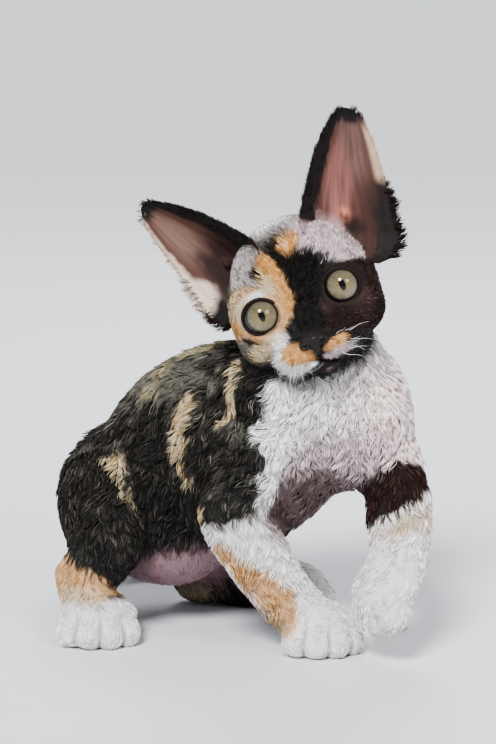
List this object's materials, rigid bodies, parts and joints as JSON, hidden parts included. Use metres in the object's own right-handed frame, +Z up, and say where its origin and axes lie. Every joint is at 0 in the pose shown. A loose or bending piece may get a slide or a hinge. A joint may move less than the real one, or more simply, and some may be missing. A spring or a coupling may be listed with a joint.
{
  "type": "devon rex kitten",
  "caption": "Still, life-size model of a tortoiseshell-and-white devon rex kitten, half crouched, a forepaw lifted and the head tilted toward the viewer",
  "frame": {"origin": "centre of the bounding box at floor level, under the belly", "axes": "+X the way the body faces, +Y the kitten's left, +Z up; the head is turned to the right of +X"},
  "size_m": [0.202, 0.1374, 0.2276],
  "materials": {
    "head": "mixed tortoiseshell coat",
    "neck": "white coat",
    "torso": "near-black grey-flecked coat",
    "ear_left": "thin ear skin with dark edge",
    "ear_right": "thin ear skin with dark edge",
    "eye_left": "wet olive-grey eye",
    "eye_right": "wet olive-grey eye",
    "upper_arm_left": "brown-black coat",
    "upper_arm_right": "near-black coat",
    "forearm_left": "white coat",
    "forearm_right": "white coat",
    "fore_paw_left": "white coat",
    "fore_paw_right": "white coat",
    "thigh_left": "near-black coat",
    "thigh_right": "near-black coat",
    "hind_foot_left": "white coat",
    "hind_foot_right": "white and cream coat",
    "tail_root": "near-black coat",
    "tail_middle": "near-black coat",
    "tail_tip": "near-black coat"
  },
  "bodies": {
    "root": {"head": "head", "neck": "neck", "torso": "torso", "ear_left": "ear_left", "ear_right": "ear_right", "eye_left": "eye_left", "eye_right": "eye_right", "upper_arm_left": "upper_arm_left", "upper_arm_right": "upper_arm_right", "forearm_left": "forearm_left", "forearm_right": "forearm_right", "fore_paw_left": "fore_paw_left", "fore_paw_right": "fore_paw_right", "thigh_left": "thigh_left", "thigh_right": "thigh_right", "hind_foot_left": "hind_foot_left", "hind_foot_right": "hind_foot_right", "tail_root": "tail_root", "tail_middle": "tail_middle", "tail_tip": "tail_tip"}
  },
  "joints": []
}
